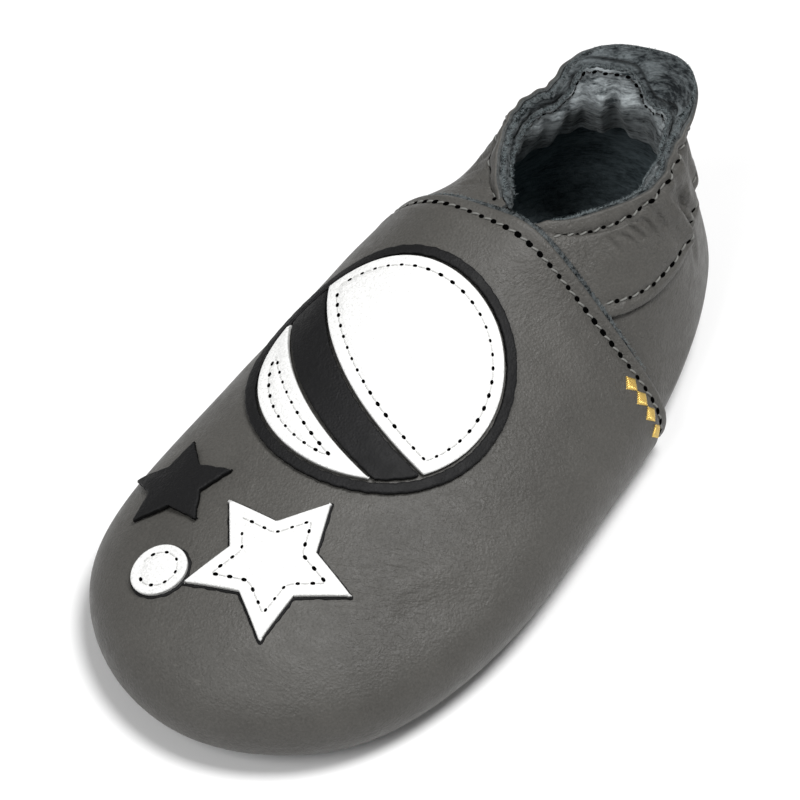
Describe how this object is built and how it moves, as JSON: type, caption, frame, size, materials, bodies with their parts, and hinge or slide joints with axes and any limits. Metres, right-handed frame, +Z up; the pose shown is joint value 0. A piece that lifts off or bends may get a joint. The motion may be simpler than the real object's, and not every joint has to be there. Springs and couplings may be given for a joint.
{
  "type": "baby slipper",
  "caption": "Soft leather baby slipper for the left foot with an elastic collar, suede sole and applied planet and star shapes on the vamp.",
  "frame": {"origin": "on the floor under the sole, midway along and across the whole slipper", "axes": "+Z up, toe towards -Y, heel towards +Y, outer side of the left foot at +X"},
  "size_m": [0.0642, 0.1324, 0.05],
  "materials": {
    "grey_leather": "smooth full grain, satin",
    "suede": "teal grey suede, napped",
    "dark_suede": "dark blue grey suede, napped",
    "white_leather": "smooth, satin",
    "black_leather": "smooth, satin"
  },
  "bodies": {
    "root": {"upper": "grey_leather", "sole": "suede", "insole": "dark_suede", "vamp": "grey_leather", "ankle_cuff": "grey_leather", "elastic_casing": "suede", "planet_upper": "white_leather", "planet_lower": "white_leather", "planet_stripe": "black_leather", "planet_rim": "black_leather", "moon": "white_leather", "dark_star": "black_leather", "pale_star": "white_leather"}
  },
  "joints": []
}
